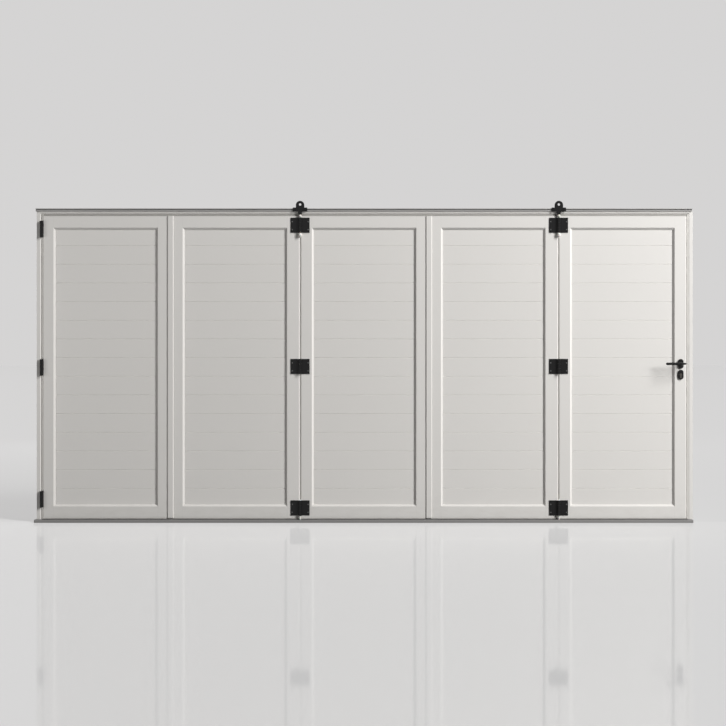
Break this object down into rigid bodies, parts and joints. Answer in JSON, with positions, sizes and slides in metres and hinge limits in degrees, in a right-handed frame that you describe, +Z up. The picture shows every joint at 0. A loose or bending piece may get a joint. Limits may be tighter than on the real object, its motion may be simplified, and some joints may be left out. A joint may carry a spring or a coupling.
{
  "type": "folding door",
  "caption": "Wide folding door in a slim frame: grooved white leaves on black hinges, two trolleys on a top rail, and a pass door with a lever handle.",
  "frame": {"origin": "on the floor, under the threshold, at the middle of the opening's width and of the closed leaves' thickness", "axes": "+X to the right seen from outside, towards the lock jamb; +Y inwards, so the outside face looks along -Y; +Z up"},
  "size_m": [4.508, 0.198, 2.2013],
  "materials": {
    "leaf_paint": "warm white satin paint on timber",
    "panel_paint": "warm white satin paint on grooved board",
    "frame_paint": "warm white satin paint on timber",
    "black_steel": "satin black powder coat",
    "grey_metal": "mid grey anodised",
    "white_nylon": "white nylon",
    "bright_steel": "brushed steel"
  },
  "bodies": {
    "frame": {"jamb_left": "frame_paint", "jamb_right": "frame_paint", "head": "frame_paint", "running_rail": "grey_metal", "threshold": "grey_metal", "strike_plate": "bright_steel", "hanging_hinge_top_jamb_half": "black_steel", "hanging_hinge_middle_jamb_half": "black_steel", "hanging_hinge_bottom_jamb_half": "black_steel"},
    "leaf_1": {"leaf_1_frame": "leaf_paint", "leaf_1_panel": "panel_paint", "fold_1_hinge_left": "black_steel", "hanging_hinge_top_leaf_half": "black_steel", "hanging_hinge_middle_leaf_half": "black_steel", "hanging_hinge_bottom_leaf_half": "black_steel"},
    "leaf_2": {"leaf_2_frame": "leaf_paint", "leaf_2_panel": "panel_paint", "cover_strip_2": "frame_paint", "fold_1_hinge_right": "black_steel", "fold_2_hinge_top_left": "black_steel", "fold_2_hinge_middle_left": "black_steel", "fold_2_hinge_bottom_left": "black_steel"},
    "leaf_3": {"leaf_3_frame": "leaf_paint", "leaf_3_panel": "panel_paint", "fold_3_hinge_left": "black_steel", "fold_2_hinge_top_right": "black_steel", "fold_2_hinge_middle_right": "black_steel", "fold_2_hinge_bottom_right": "black_steel"},
    "leaf_4": {"leaf_4_frame": "leaf_paint", "leaf_4_panel": "panel_paint", "cover_strip_4": "frame_paint", "fold_3_hinge_right": "black_steel", "fold_4_hinge_top_left": "black_steel", "fold_4_hinge_middle_left": "black_steel", "fold_4_hinge_bottom_left": "black_steel"},
    "leaf_5": {"leaf_5_frame": "leaf_paint", "leaf_5_panel": "panel_paint", "fold_4_hinge_top_right": "black_steel", "fold_4_hinge_middle_right": "black_steel", "fold_4_hinge_bottom_right": "black_steel", "rose_outer": "black_steel", "escutcheon_outer": "black_steel", "backplate_inner": "black_steel", "lock_case": "bright_steel", "key_cylinder": "bright_steel"},
    "trolley_2": {"trolley_2_carriage": "black_steel", "trolley_2_hanger_pin": "white_nylon"},
    "trolley_4": {"trolley_4_carriage": "black_steel", "trolley_4_hanger_pin": "white_nylon"},
    "trolley_2_roller_left": {"trolley_2_roller_left": "white_nylon"},
    "trolley_2_roller_right": {"trolley_2_roller_right": "white_nylon"},
    "trolley_4_roller_left": {"trolley_4_roller_left": "white_nylon"},
    "trolley_4_roller_right": {"trolley_4_roller_right": "white_nylon"},
    "guide_pin_2": {"guide_pin_2": "white_nylon"},
    "guide_pin_4": {"guide_pin_4": "white_nylon"},
    "lever": {"lever_outer": "black_steel", "lever_inner": "black_steel"},
    "latch_bolt": {"latch_bolt": "bright_steel"},
    "thumb_turn": {"thumb_turn": "black_steel"},
    "dead_bolt": {"dead_bolt": "bright_steel"}
  },
  "joints": [
    {"name": "fold", "type": "hinge", "parent": "frame", "child": "leaf_1", "pos_m": [-2.215, -0.0335, 1], "axis": [0, 0, -1], "range_deg": [0, 80]},
    {"name": "fold_leaf_2", "type": "hinge", "parent": "leaf_1", "child": "leaf_2", "pos_m": [-1.329, 0.0335, 1], "axis": [0, 0, 1], "range_deg": [0, 160]},
    {"name": "fold_leaf_3", "type": "hinge", "parent": "leaf_2", "child": "leaf_3", "pos_m": [-0.443, -0.0335, 1], "axis": [0, 0, -1], "range_deg": [0, 160]},
    {"name": "fold_leaf_4", "type": "hinge", "parent": "leaf_3", "child": "leaf_4", "pos_m": [0.443, 0.0335, 1], "axis": [0, 0, 1], "range_deg": [0, 160]},
    {"name": "trolley_2_swivel", "type": "hinge", "parent": "leaf_2", "child": "trolley_2", "pos_m": [-0.443, -0.0335, 2.1], "axis": [0, 0, -1], "range_deg": [0, 80]},
    {"name": "guide_pin_2_swivel", "type": "hinge", "parent": "leaf_2", "child": "guide_pin_2", "pos_m": [-0.443, -0.0335, 0.1], "axis": [0, 0, -1], "range_deg": [0, 80]},
    {"name": "trolley_4_swivel", "type": "hinge", "parent": "leaf_4", "child": "trolley_4", "pos_m": [1.329, -0.0335, 2.1], "axis": [0, 0, -1], "range_deg": [0, 80]},
    {"name": "guide_pin_4_swivel", "type": "hinge", "parent": "leaf_4", "child": "guide_pin_4", "pos_m": [1.329, -0.0335, 0.1], "axis": [0, 0, -1], "range_deg": [0, 80]},
    {"name": "pass_swing", "type": "hinge", "parent": "trolley_4", "child": "leaf_5", "pos_m": [1.329, -0.0335, 1], "axis": [0, 0, -1], "range_deg": [0, 90]},
    {"name": "trolley_2_roller_left_spin", "type": "hinge", "parent": "trolley_2", "child": "trolley_2_roller_left", "pos_m": [-0.475, -0.018, 2.1408], "axis": [0, 1, 0], "continuous": true},
    {"name": "trolley_2_roller_right_spin", "type": "hinge", "parent": "trolley_2", "child": "trolley_2_roller_right", "pos_m": [-0.411, -0.018, 2.1408], "axis": [0, 1, 0], "continuous": true},
    {"name": "trolley_4_roller_left_spin", "type": "hinge", "parent": "trolley_4", "child": "trolley_4_roller_left", "pos_m": [1.297, -0.018, 2.1408], "axis": [0, 1, 0], "continuous": true},
    {"name": "trolley_4_roller_right_spin", "type": "hinge", "parent": "trolley_4", "child": "trolley_4_roller_right", "pos_m": [1.361, -0.018, 2.1408], "axis": [0, 1, 0], "continuous": true},
    {"name": "lever_turn", "type": "hinge", "parent": "leaf_5", "child": "lever", "pos_m": [2.166, 0, 1.085], "axis": [0, -1, 0], "range_deg": [0, 45], "stiffness_Nm_per_rad": 2, "springref_deg": -20.05},
    {"name": "latch_slide", "type": "slide", "parent": "leaf_5", "child": "latch_bolt", "axis": [-1, 0, 0], "range_m": [0, 0.0095]},
    {"name": "thumb_turn_turn", "type": "hinge", "parent": "leaf_5", "child": "thumb_turn", "pos_m": [2.166, 0.0336, 1.011], "axis": [0, 1, 0], "range_deg": [0, 90]},
    {"name": "dead_bolt_slide", "type": "slide", "parent": "leaf_5", "child": "dead_bolt", "axis": [1, 0, 0], "range_m": [0, 0.02]}
  ],
  "couplings": [
    {"joint": "fold_leaf_2", "follows": "fold", "ratio": 2},
    {"joint": "fold_leaf_3", "follows": "fold", "ratio": 2},
    {"joint": "fold_leaf_4", "follows": "fold", "ratio": 2},
    {"joint": "trolley_2_swivel", "follows": "fold", "ratio": 1},
    {"joint": "guide_pin_2_swivel", "follows": "fold", "ratio": 1},
    {"joint": "trolley_4_swivel", "follows": "fold", "ratio": 1},
    {"joint": "guide_pin_4_swivel", "follows": "fold", "ratio": 1},
    {"joint": "latch_slide", "follows": "lever_turn", "m_per_rad": 0.012},
    {"joint": "dead_bolt_slide", "follows": "thumb_turn_turn", "m_per_rad": 0.0127}
  ]
}
